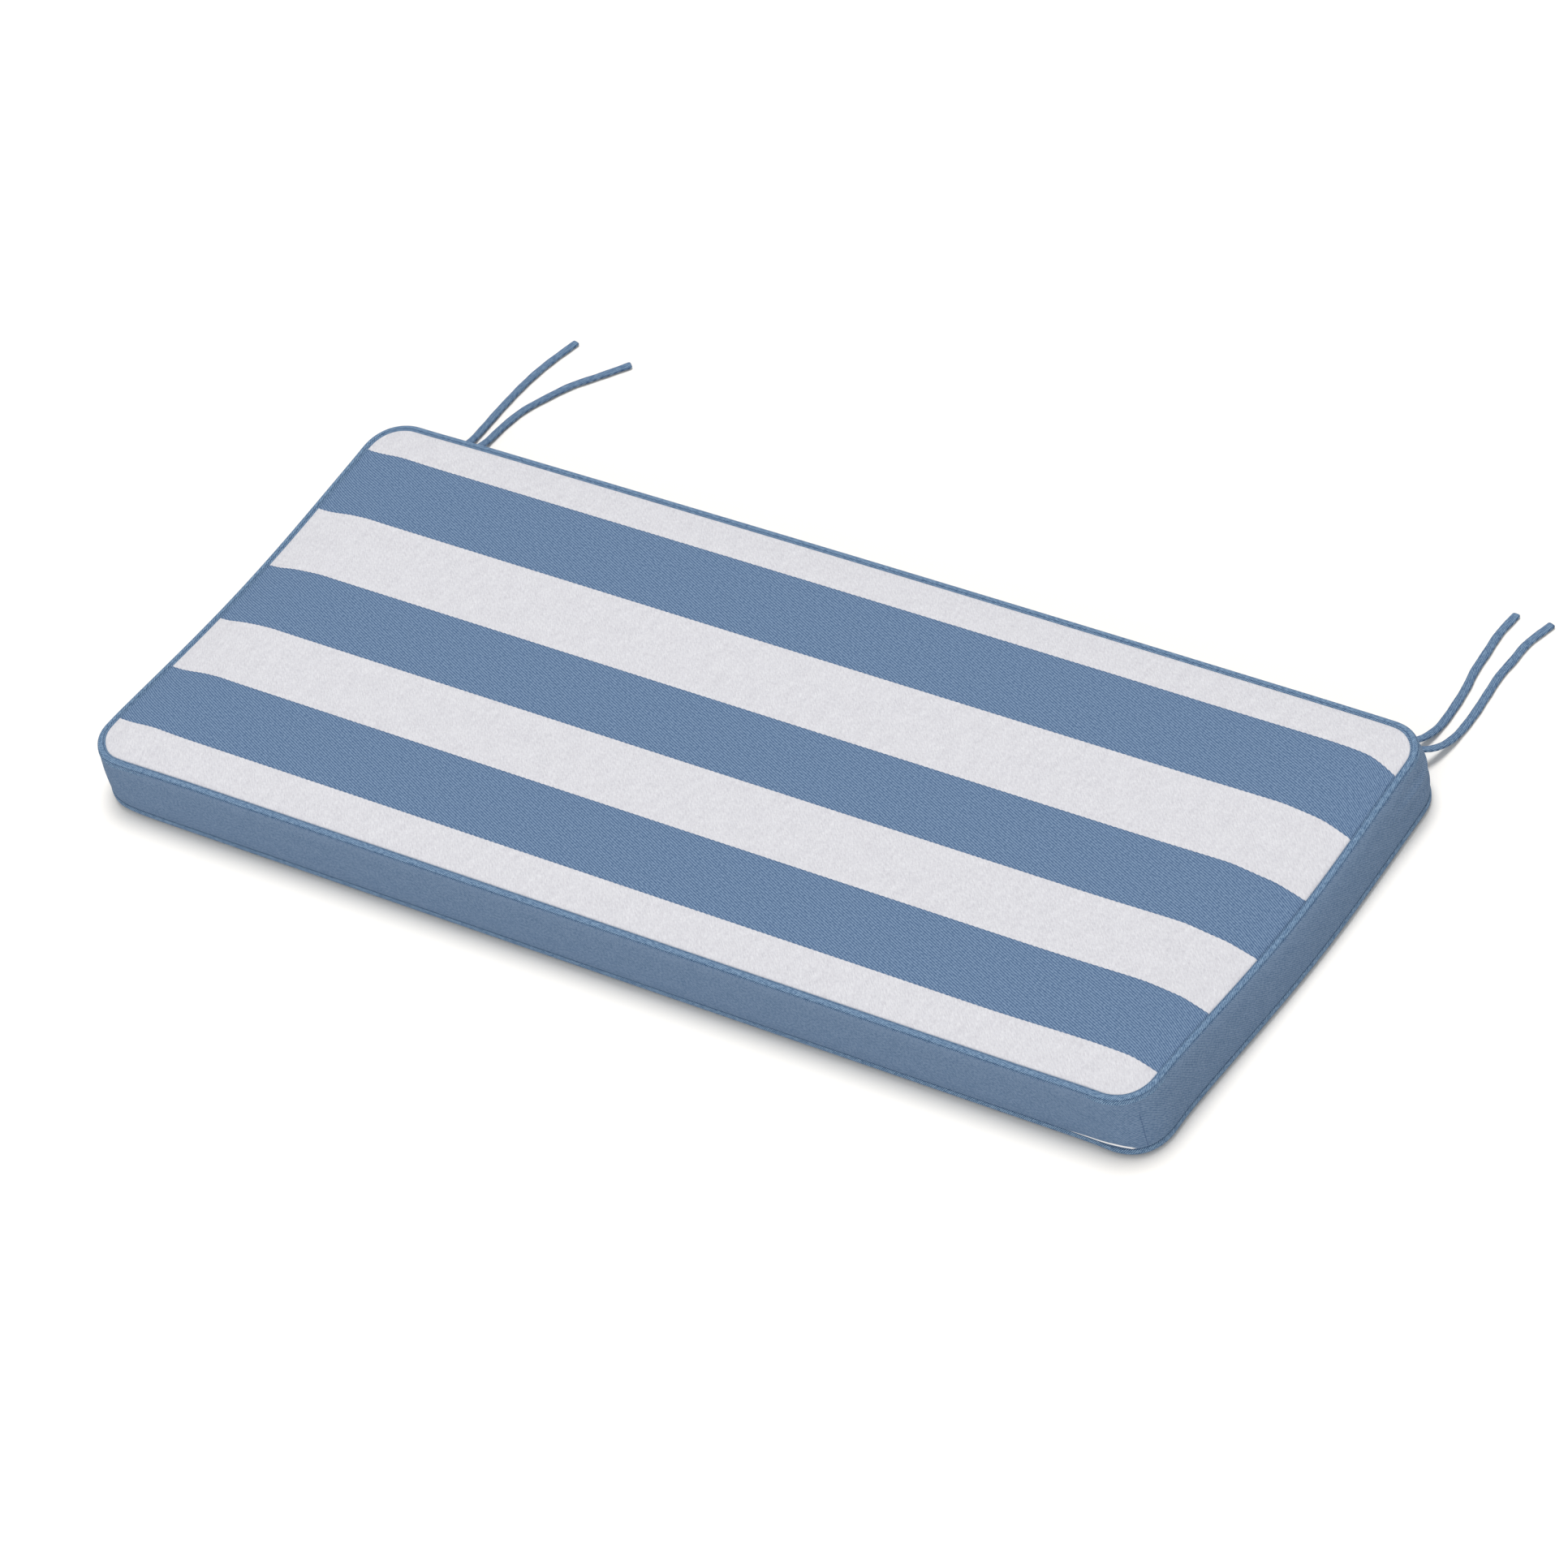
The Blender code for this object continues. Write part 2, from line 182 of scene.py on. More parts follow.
# Colours as they show on the screen, 0 to 255. The pairs go from the gaps of the weave to its ribs.
COVER_BLUES = (76, 104, 140), (134, 159, 189)
COVER_RIM = (72, 98, 134)
COVER_WHITES = (211, 210, 216), (236, 236, 240)
BOXING_BLUES = (86, 113, 145), (130, 152, 180)
# painted shade of the crease beside each welt, with the stitching there
BOXING_CREASE_SHADE = (52, 78, 112)
BOXING_STITCH = (58, 84, 122)
GAP_SHADE = (60, 84, 112)
GAP_WHITE = (250, 250, 252)
WELT_BLUES = (68, 100, 136), (150, 178, 206)
# stitching and painted shade of the crevice where the cloth meets the welt
WELT_STITCH_AND_SHADE = (44, 72, 106)
TIE_BLUES = (70, 99, 135), (140, 168, 196)
# painted shade along a tie's edges, where it turns down
TIE_EDGE_SHADE = (48, 76, 110)

# ---------------------------------------------------------------- ties
TIE_WIDTH = 0.0080
TIE_THICKNESS = 0.0026
TIE_LYING_HEIGHT = TIE_THICKNESS / 2 + 0.0005
TIE_SPACING = 0.0020
ROUTE_STEPS = 24
TIE_SECTION_POINTS = 36
SECTION_POWERS = (0.55, 0.75)   # how square the section is, across and in height
TIE_WAVES = ((0.00012, 310), (0.00008, 97))     # unevenness of the half width: height and waves per 2 pi m
TIP_ROUND = 0.0022              # radius of the tip's corners
TIP_STEPS = (0.0024, 0.0017, 0.0011, 0.0006, 0.00025, 0.00005)  # of the last rings from the tip
TIP_FOLD = 0.0080               # length of the doubled end
TIP_THICKER = 1.14
TIP_THINNEST = 0.02
STITCH_INSET = 0.0014           # of the edge stitching from the tie's edge
STITCH_PITCH = 0.0026
STITCH_GROOVE = (0.22, 0.0004)  # depth, as a share of the half thickness, and half width
STITCH_DIMPLE = (0.05, 0.0006)
MIDDLE_GROOVE = (0.10, 0.30)    # depth and half width, as shares
# The root and a point straight out of it, then x, y and the rise above the height of a lying tie,
# before PLAN_SHIFT_X.
TIES = {
    "tie_left_outer": (((-0.5172, 0.2347, 0.0202), (-0.5172, 0.2416, 0.0191)), (
        (-0.5145, 0.2560, 0.0095), (-0.5145, 0.2700, 0.0035), (-0.5150, 0.2850, 0.0006),
        (-0.5155, 0.3050, 0), (-0.5160, 0.3300, 0), (-0.5150, 0.3640, 0),
        (-0.5110, 0.3940, 0), (-0.5020, 0.4300, 0),
    )),
    "tie_left_inner": (((-0.5056, 0.2345, 0.0202), (-0.5056, 0.2414, 0.0192)), (
        (-0.5020, 0.2570, 0.0105), (-0.5005, 0.2710, 0.0048), (-0.5000, 0.2860, 0.0010),
        (-0.4985, 0.3100, 0), (-0.4940, 0.3320, 0), (-0.4850, 0.3520, 0),
        (-0.4710, 0.3770, 0), (-0.4540, 0.3970, 0), (-0.4330, 0.4220, 0),
    )),
    "tie_right_inner": (((0.5099, 0.2348, 0.0202), (0.5099, 0.2417, 0.0189)), (
        (0.5150, 0.2560, 0.0092), (0.5185, 0.2700, 0.0036), (0.5205, 0.2880, 0.0004),
        (0.5195, 0.3120, 0), (0.5170, 0.3350, 0), (0.5130, 0.3560, 0),
        (0.5110, 0.3790, 0), (0.5090, 0.4040, 0), (0.5110, 0.4300, 0),
    )),
    "tie_right_outer": (((0.5257, 0.2348, 0.0202), (0.5267, 0.2416, 0.0187)), (
        (0.5345, 0.2530, 0.0098), (0.5385, 0.2670, 0.0042), (0.5402, 0.2860, 0.0006),
        (0.5400, 0.3100, 0), (0.5380, 0.3340, 0), (0.5360, 0.3580, 0),
        (0.5370, 0.3790, 0), (0.5380, 0.4020, 0), (0.5460, 0.4300, 0),
    )),
}

CLOTH_MAP = "cloth"  # the UV map that holds each cloth's own flat measures in metres


# ================================================================ node helpers
def seen(colour):
    """The cloth colour that shows as this screen colour, 0 to 255, where the light falls on it squarely."""
    def linear(value):
        value /= 255
        return value / 12.92 if value <= 0.04045 else ((value + 0.055) / 1.055) ** 2.4
    return tuple(linear(value) / LIGHT_LEVEL for value in colour) + (1.0,)


class Graph:
    """The nodes of one material, made by short calls that return an output socket."""

    def __init__(self, name, roughness=0.9, specular=0.15):
        self.material = bpy.data.materials.new(name)
        self.material.use_nodes = True
        self.nodes = self.material.node_tree.nodes
        self.links = self.material.node_tree.links
        self.shader = self.nodes["Principled BSDF"]
        self.shader.inputs["Roughness"].default_value = roughness
        self.shader.inputs["Specular IOR Level"].default_value = specular

    def put(self, value, socket):
        if isinstance(value, bpy.types.NodeSocket):
            self.links.new(value, socket)
        else:
            socket.default_value = value

    def math(self, operation, *values, clamp=False):
        node = self.nodes.new("ShaderNodeMath")
        node.operation = operation
        node.use_clamp = clamp
        for value, socket in zip(values, node.inputs):
            self.put(value, socket)
        return node.outputs[0]

    def add(self, a, b):
        return self.math("ADD", a, b)

    def times(self, a, b):
        return self.math("MULTIPLY", a, b)

    def cloth_place(self):
        """The two flat measures of the cloth at this point, in metres."""
        node = self.nodes.new("ShaderNodeUVMap")
        node.uv_map = CLOTH_MAP
        split = self.nodes.new("ShaderNodeSeparateXYZ")
        self.links.new(node.outputs["UV"], split.inputs[0])
        return split.outputs["X"], split.outputs["Y"]

    def vector(self, x, y, z):
        node = self.nodes.new("ShaderNodeCombineXYZ")
        for value, socket in zip((x, y, z), node.inputs):
            self.put(value, socket)
        return node.outputs[0]

    def noise(self, x, y, size_x, size_y, detail=1.0, seed=0.0):
        """Smooth noise around 0, within about -0.5 and 0.5, with blobs of the given sizes in metres."""
        node = self.nodes.new("ShaderNodeTexNoise")
        node.inputs["Scale"].default_value = 1.0
        node.inputs["Detail"].default_value = detail
        spot = self.vector(self.times(x, 1 / size_x), self.times(y, 1 / size_y), seed)
        self.links.new(spot, node.inputs["Vector"])
        return self.add(node.outputs[0], -0.5)

    def mix(self, factor, a, b):
        node = self.nodes.new("ShaderNodeMix")
        node.data_type = "RGBA"
        for value, name in ((factor, "Factor_Float"), (a, "A_Color"), (b, "B_Color")):
            socket = next(s for s in node.inputs if s.identifier == name)
            self.put(value, socket)
        return next(s for s in node.outputs if s.identifier == "Result_Color")

    def tint(self, amount, pair):
        """A colour between the two of a pair, where the amount is 0 to 1."""
        return self.mix(amount, seen(pair[0]), seen(pair[1]))

    def turned(self, x, y, angle):
        """Measures across and along lines that run at this angle below the x axis."""
        across = self.add(self.times(x, sin(angle)), self.times(y, cos(angle)))
        along = self.add(self.times(x, cos(angle)), self.times(y, -sin(angle)))
        return across, along

    def ribs(self, x, y, pitch, angle, wander=0.10, uneven=0.6):
        """Twill lines: -1 in the gaps, 1 on the ribs, a little uneven in course and strength."""
        across, along = self.turned(x, y, angle)
        course = self.noise(x, y, 14 * pitch, 14 * pitch)
        course = self.add(course, self.noise(across, along, 2 * pitch, 4 * pitch, seed=3.0))
        phase = self.add(self.times(across, 2 * pi / pitch), self.times(course, wander * 2 * pi))
        wave = self.math("SINE", phase)
        floats = self.noise(across, along, 0.8 * pitch, 1.6 * pitch, detail=2.0, seed=7.0)
        strength = self.add(1.0, self.times(floats, 2 * uneven))
        return self.add(self.times(wave, strength), self.times(floats, 2 * uneven))

    def band(self, value, middle, half_width, softness):
        """1 where the value lies within half_width of the middle, fading to 0 over the softness."""
        away = self.math("ABSOLUTE", self.math("SUBTRACT", value, middle))
        reach = self.math("MULTIPLY_ADD", half_width, 1 / softness, 0.5)
        return self.math("MULTIPLY_ADD", away, -1 / softness, reach, clamp=True)

    def finish(self, colour, height, depth, strength):
        """The material, with this colour and with a bump of the weave."""
        self.put(colour, self.shader.inputs["Base Color"])
        bump = self.nodes.new("ShaderNodeBump")
        bump.inputs["Strength"].default_value = strength
        bump.inputs["Distance"].default_value = depth
        self.links.new(height, bump.inputs["Height"])
        self.links.new(bump.outputs[0], self.shader.inputs["Normal"])
        return self.material


# ================================================================ camera, floor, light
def make_camera():
    camera = bpy.data.objects.new("camera", bpy.data.cameras.new("camera"))
    bpy.context.scene.collection.objects.link(camera)
    across = cos(CAMERA_ELEVATION)
    view = Vector((-sin(CAMERA_AZIMUTH) * across, cos(CAMERA_AZIMUTH) * across, -sin(CAMERA_ELEVATION)))
    turn = view.to_track_quat("-Z", "Y").to_matrix() @ Matrix.Rotation(CAMERA_ROLL, 3, "Z")
    camera.matrix_world = Matrix.Translation(CAMERA_PLACE) @ turn.to_4x4()
    camera.data.lens = LENS
    camera.data.sensor_width = SENSOR
    camera.data.clip_end = 200
    bpy.context.scene.camera = camera


def make_floor():
    bpy.ops.mesh.primitive_plane_add(size=2 * FLOOR_HALF, location=(0, 0, FLOOR_HEIGHT))
    floor = bpy.context.object
    floor.name = "floor"
    graph = Graph("floor_white", roughness=1.0, specular=0.0)
    graph.shader.inputs["Base Color"].default_value = FLOOR_WHITE
    floor.data.materials.append(graph.material)


def make_light():
    scene = bpy.context.scene
    world = bpy.data.worlds.new("studio")
    world.use_nodes = True
    sky = world.node_tree.nodes["Background"]
    sky.inputs["Color"].default_value = (1, 1, 1, 1)
    sky.inputs["Strength"].default_value = SKY_STRENGTH
    scene.world = world
    for name, aim, strength, spread in LAMPS:
        lamp = bpy.data.objects.new(name, bpy.data.lights.new(name, "SUN"))
        scene.collection.objects.link(lamp)
        lamp.data.energy = strength
        lamp.data.angle = spread
        lamp.rotation_euler = Vector(aim).to_track_quat("-Z", "Y").to_euler()
    scene.view_settings.view_transform = "Standard"
    scene.view_settings.look = "None"


# ================================================================ ties
def smooth_route(points, spacing):
    """Points at an even spacing on a smooth curve through the given ones."""
    padded = [points[0] * 2 - points[1]] + points + [points[-1] * 2 - points[-2]]
    dense = []
    for a, b, c, d in zip(padded, padded[1:], padded[2:], padded[3:]):
        for k in range(ROUTE_STEPS):
            t = k / ROUTE_STEPS
            dense.append(0.5 * (2 * b + (c - a) * t + (2 * a - 5 * b + 4 * c - d) * t ** 2
                                + (3 * b - a - 3 * c + d) * t ** 3))
    dense.append(points[-1])
    length = sum((q - p).length for p, q in zip(dense, dense[1:]))
    count = round(length / spacing)
    route, travelled, wanted = [dense[0]], 0.0, length / count
    for p, q in zip(dense, dense[1:]):
        step = (q - p).length
        while travelled + step >= wanted * len(route) and len(route) < count:
            route.append(p.lerp(q, (wanted * len(route) - travelled) / step))
        travelled += step
    return route + [dense[-1]], length


def tie_section():
    """Across and height of a flat folded strip's section, as shares of its half width and half thickness."""
    def rounded(value, power):
        return abs(value) ** power * (1 if value >= 0 else -1)
    turns = [2 * pi * k / TIE_SECTION_POINTS for k in range(TIE_SECTION_POINTS)]
    return [(rounded(cos(t), SECTION_POWERS[0]), rounded(sin(t), SECTION_POWERS[1])) for t in turns]


def tie_groove(across, travelled):
    """How deep the stitching and the fold's middle lie in, as a share of the half thickness."""
    off_stitches = (1 - abs(across)) * TIE_WIDTH / 2 - STITCH_INSET
    groove = STITCH_GROOVE[0] * bell(off_stitches, STITCH_GROOVE[1])
    groove += MIDDLE_GROOVE[0] * bell(across, MIDDLE_GROOVE[1])
    stitches = sin(2 * pi * travelled / STITCH_PITCH)
    return groove + STITCH_DIMPLE[0] * stitches * bell(off_stitches, STITCH_DIMPLE[1])


def tie_ring(here, ahead, travelled, to_tip, length):
    """One ring of a tie's surface, and the flat measures of its vertices."""
    side = ahead.cross(Vector((0, 0, 1))).normalized()
    up = side.cross(ahead)
    cut = max(TIP_ROUND - to_tip, 0.0)
    narrow = TIP_ROUND - sqrt(max(TIP_ROUND ** 2 - cut ** 2, 0.0))
    half_width = TIE_WIDTH / 2 - narrow + sum(height * sin(travelled * wave) for height, wave in TIE_WAVES)
    half_thick = TIE_THICKNESS / 2 * sqrt(max(1 - (cut / TIP_ROUND) ** 4, TIP_THINNEST))
    if length - travelled < TIP_FOLD:
        half_thick *= TIP_THICKER
    verts, marks = [], []
    for across, height in tie_section():
        lift = half_thick * height * (1 - tie_groove(across, travelled))
        verts.append(here + side * half_width * across + up * lift)
        marks.append((travelled, across * TIE_WIDTH / 2))
    return verts, marks


def build_tie(name, start, past_root, material):
    ground = Vector((PLAN_SHIFT_X, 0, TIE_LYING_HEIGHT))
    points = [Vector(p) for p in start] + [Vector(p) + ground for p in past_root]
    route, length = smooth_route(points, TIE_SPACING)
    # The last spacing is split finely, so that the tip's corners come out round.
    tip = route[-1]
    back = (route[-2] - tip).normalized()
    route = route[:-2] + [tip + back * step for step in TIP_STEPS]
    verts, marks = [], []
    travelled = 0.0
    for k, here in enumerate(route):
        ahead = (route[min(k + 1, len(route) - 1)] - route[max(k - 1, 0)]).normalized()
        if k:
            travelled += (here - route[k - 1]).length
        ring, ring_marks = tie_ring(here, ahead, travelled, (tip - here).length, length)
        verts += ring
        marks += ring_marks
    tie = mesh_object(name + "_cloth", verts, *tube_faces(len(route), TIE_SECTION_POINTS, marks), [material])
    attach(tie, "root")
    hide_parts(name)


def tube_faces(rings, count, marks):
    """Faces between rings of vertices and over both ends, and the flat measures at their corners."""
    faces = []
    for k in range(rings - 1):
        for j in range(count):
            a, b = k * count + j, k * count + (j + 1) % count
            faces.append((a, b, b + count, a + count))
    faces.append(tuple(range(count - 1, -1, -1)))
    faces.append(tuple(range((rings - 1) * count, rings * count)))
    return faces, [marks[v] for face in faces for v in face]


def mesh_object(name, verts, faces, corners, materials, face_materials=None):
    """An object with a smooth mesh, whose corners carry the cloth's flat measures."""
    mesh = bpy.data.meshes.new(name)
    mesh.from_pydata([tuple(v) for v in verts], [], faces)
    layer = mesh.uv_layers.new(name=CLOTH_MAP)
    layer.data.foreach_set("uv", np.array(corners, np.float32).ravel())
    for material in materials:
        mesh.materials.append(material)
    if face_materials is not None:
        mesh.polygons.foreach_set("material_index", np.array(face_materials, np.int32))
    mesh.shade_smooth()
    bm = bmesh.new()
    bm.from_mesh(mesh)
    bmesh.ops.recalc_face_normals(bm, faces=bm.faces)
    bm.to_mesh(mesh)
    bm.free()
    made = bpy.data.objects.new(name, mesh)
    bpy.context.scene.collection.objects.link(made)
    return made


# ================================================================ shape functions, on arrays
def bell(away, width):
    """1 at the middle, fading to nothing beyond about twice the width."""
    return np.exp(-(away / width) ** 2)


def smooth_step(value):
    value = np.clip(value, 0, 1)
    return value * value * (3 - 2 * value)


def ease(fraction):
    """0 at the seam, rising steeply at first and levelling out at 1."""
    return 1 - (1 - np.clip(fraction, 0, 1)) ** 2


def side_weight(x, y, direction, middle, fade):
    across = x * direction[0] + y * direction[1]
    half_across = HALF_LENGTH if direction[0] else HALF_DEPTH
    along = y if direction[0] else x
    near = 1 - (half_across - across) / SIDE_REACH
    return np.clip(near, 0, 1) * np.cos(np.clip((along - middle) / fade, -1, 1) * pi / 2) ** 2


def corner_weight(x, y, quadrant, spread):
    distance = np.hypot(x - quadrant[0] * HALF_LENGTH, y - quadrant[1] * HALF_DEPTH)
    return bell(distance, spread)


def plan_shift(x, y, top):
    """How far the cloth over a plan point is pulled sideways. top is 1 at the top seam, 0 at the other."""
    shift_x = np.full_like(x, PLAN_SHIFT_X)
    shift_y = np.zeros_like(y)
    for direction, top_bow, bottom_bow, _, middle, fade in SIDES.values():
        bow = (bottom_bow + (top_bow - bottom_bow) * top) * side_weight(x, y, direction, middle, fade)
        shift_x += direction[0] * bow
        shift_y += direction[1] * bow
    for quadrant, _, top_reach, bottom_reach, _, _ in CORNERS.values():
        reach = bottom_reach + (top_reach - bottom_reach) * top
        pull = reach * corner_weight(x, y, quadrant, REACH_SPREAD) / sqrt(2)
        shift_x += quadrant[0] * pull
        shift_y += quadrant[1] * pull
    return shift_x, shift_y


def top_seam_height(x, y):
    height = np.full_like(x, TOP_SEAM_HEIGHT)
    for direction, _, _, sag, middle, fade in SIDES.values():
        height -= sag * side_weight(x, y, direction, middle, fade)
    for quadrant, lift, _, _, _, _ in CORNERS.values():
        height += lift * corner_weight(x, y, quadrant, LIFT_SPREAD)
    return height


def bottom_seam_height(x, y):
    height = np.full_like(x, BOTTOM_SEAM_HEIGHT)
    for quadrant, _, _, _, _, lift in CORNERS.values():
        height += lift * corner_weight(x, y, quadrant, REACH_SPREAD)
    return height


def gap_to_outline(x, y):
    """Distance from plan points to the seam, measured along X and along Y."""
    past_x = np.clip(np.abs(x) - ARC_X, 0, CORNER_RADIUS)
    past_y = np.clip(np.abs(y) - ARC_Y, 0, CORNER_RADIUS)
    gap_x = ARC_X + np.sqrt(CORNER_RADIUS ** 2 - past_y ** 2) - np.abs(x)
    gap_y = ARC_Y + np.sqrt(CORNER_RADIUS ** 2 - past_x ** 2) - np.abs(y)
    return gap_x, gap_y


def crown_height(x, y):
    """Height of the top panel over plan points."""
    contact = top_seam_height(x, y) + CONTACT_RADIUS * sin(radians(PANEL_CONTACT))
    gap_x, gap_y = gap_to_outline(x, y)
    level = ease(gap_x / END_SLOPE) * ease(gap_y / SIDE_SLOPE)
    return contact + (CROWN_HEIGHT - contact) * level


def boxing_swell(x, y):
    swell = np.full_like(x, BOXING_SWELL)
    for quadrant, _, _, _, extra, _ in CORNERS.values():
        swell += extra * corner_weight(x, y, quadrant, SWELL_SPREAD)
    return swell


class Outline:
    """Stations round the cushion, one beside each border point of the top panel's grid."""

    def __init__(self, xs, ys):
        inner = CORNER_RADIUS - PANEL_INSET
        border = [(x, ys[0]) for x in xs] + [(xs[-1], y) for y in ys[1:]]
        border += [(x, ys[-1]) for x in reversed(xs[:-1])] + [(xs[0], y) for y in reversed(ys[1:-1])]
        border = np.array(border)
        signs = np.where(border > 0, 1.0, -1.0)
        past = np.maximum(np.abs(border) - (ARC_X, ARC_Y), 0)
        wide = past[:, 0] > past[:, 1]
        out_x = np.where(wide, np.sqrt(inner ** 2 - np.minimum(past[:, 1], inner) ** 2), past[:, 0])
        out_y = np.where(wide, past[:, 1], np.sqrt(inner ** 2 - np.minimum(past[:, 0], inner) ** 2))
        self.outward = np.stack([out_x, out_y], 1) / inner * signs
        self.centre = np.minimum(np.abs(border), (ARC_X, ARC_Y)) * signs
        self.count = len(border)
        seam = self.plan(0)
        self.drift = np.stack(plan_shift(*seam.T, 1) + (np.zeros(self.count),), 1)
        steps = np.linalg.norm(np.roll(seam, -1, 0) - seam, axis=1)
        self.along = np.concatenate([[0], np.cumsum(steps)])  # one more than the stations: the loop's length

    def plan(self, inset):
        return self.centre + self.outward * (CORNER_RADIUS - inset)

    def seam(self, top):
        """Middle of the top welt (1) or the bottom one (0)."""
        x, y = self.plan(0).T
        shift_x, shift_y = plan_shift(x, y, top)
        if top:
            return np.stack([x + shift_x, y + shift_y, top_seam_height(x, y)], 1)
        flare_x, flare_y = (self.outward * BOTTOM_FLARE).T
        return np.stack([x + shift_x + flare_x, y + shift_y + flare_y, bottom_seam_height(x, y)], 1)

    def round_welt(self, top, angle, radius):
        turn = radians(angle)
        out = np.concatenate([self.outward * cos(turn), np.full((self.count, 1), sin(turn))], 1)
        return self.seam(top) + out * radius

    def boxing(self, fraction):
        """The boxing, at a fraction of the way down from the top welt to the bottom one."""
        upper = self.round_welt(1, BOXING_TOP_CONTACT, CONTACT_RADIUS)
        lower = self.round_welt(0, BOXING_BOTTOM_CONTACT, CONTACT_RADIUS)
        height = np.linalg.norm(lower - upper, axis=1)
        bulge = (1 - np.exp(-height * fraction / SHOULDER_BEND))
        bulge *= (1 - np.exp(-height * (1 - fraction) / SHOULDER_BEND))
        x, y = self.plan(0).T
        swell = SHOULDER * bulge + boxing_swell(x, y) * sin(pi * fraction)
        out = np.concatenate([self.outward * swell[:, None], np.zeros((self.count, 1))], 1)
        return upper + (lower - upper) * fraction + out

    def folds(self, fraction):
        """How the soft folds move the boxing, at a fraction of the way down."""
        outward = np.zeros(self.count)
        for place, share, half_length, half_height, depth in BOXING_FOLDS:
            off = ((self.along[:-1] - place) / half_length) ** 2 + ((fraction - share) / half_height) ** 2
            outward += depth * np.exp(-off)
        return np.concatenate([self.outward * outward[:, None], np.zeros((self.count, 1))], 1)

    def panel(self, inset):
        x, y = self.plan(inset).T
        shift_x, shift_y = plan_shift(x, y, 1)
        return np.stack([x + shift_x, y + shift_y, crown_height(x, y)], 1)

    def underside(self, inset):
        place = self.seam(0)
        place[:, :2] -= self.outward * inset
        place[:, 2] = 0
        return place


def grid_lines():
    """The x and y values of the top panel's grid, out to the inset border's rounded corners."""
    def lines(half, arc):
        inner = CORNER_RADIUS - PANEL_INSET
        step = pi / 4 / CORNER_STEPS
        corner = [arc + inner * sin(step * k) for k in range(CORNER_STEPS + 1)]
        count = round(2 * arc / GRID_SPACING)
        middle = [arc * (2 * k / count - 1) for k in range(1, count)]
        return [-c for c in reversed(corner)] + middle + corner
    return lines(HALF_LENGTH, ARC_X), lines(HALF_DEPTH, ARC_Y)


# ================================================================ cover
def cloth_measures(places):
    """The top cloth's own x and y at plan points, where it was pulled askew towards its ends."""
    x, y = places[:, 0], places[:, 1]
    start, span, shift, less = RIGHT_TURN
    right = smooth_step((x - start) / span) * (shift - less * y)
    middle, half_length, shift = RIGHT_RISE
    right += shift * bell(x - middle, half_length)
    start, span, limit, shift = RIGHT_DROP
    for way, first, reach, more in RIGHT_DROP_MORE:
        shift = shift + more * smooth_step((way * y - first) / reach)
    right -= shift * np.clip((x - start) / span, 0, limit) ** 2
    start, span, limit, shift = LEFT_RISE
    left = shift * np.clip((start - x) / span, 0, limit) ** 2
    middle, half_length, shift = LEFT_BEND
    left += shift * bell(x - middle, half_length)
    return np.stack([x, y - right - left], 1)


def panel_grid(xs, ys, outline):
    """The top panel's grid, the cloth's own measures on it, and its border, one vertex for each station."""
    nx, ny = len(xs), len(ys)
    x, y = np.meshgrid(xs, ys, indexing="ij")
    shift_x, shift_y = plan_shift(x, y, 1)
    grid = np.stack([x + shift_x, y + shift_y, crown_height(x, y)], -1).reshape(-1, 3)
    flat = np.stack([x, y], -1).reshape(-1, 2)
    loop = [i * ny for i in range(nx)] + [(nx - 1) * ny + j for j in range(1, ny)]
    loop += [i * ny + ny - 1 for i in range(nx - 2, -1, -1)] + list(range(ny - 2, 0, -1))
    grid[loop] = outline.panel(PANEL_INSET)
    flat[loop] = outline.plan(PANEL_INSET)
    return grid, cloth_measures(flat), loop


def cover_rings(outline):
    """The rings from the grid's border to the underside: places, kind, and measure down the boxing."""
    rings = [(outline.panel(inset), TOP, 0) for inset in PANEL_RINGS]
    rings.append((outline.round_welt(1, PANEL_CONTACT, CONTACT_RADIUS), SEAM, 0))
    rings += [(outline.round_welt(1, angle, TUCK_RADIUS), BOXING, 0) for angle in TOP_TUCK]
    rings += [(outline.boxing(share), BOXING, share * BOXING_DEPTH) for share in BOXING_ROWS]
    rings += [(outline.round_welt(0, angle, TUCK_RADIUS), BOXING, BOXING_DEPTH) for angle in BOTTOM_TUCK]
    rings.append((outline.round_welt(0, UNDERSIDE_CONTACT, CONTACT_RADIUS), UNDER, 0))
    return rings + [(outline.underside(inset), UNDER, 0) for inset in UNDERSIDE_RINGS]


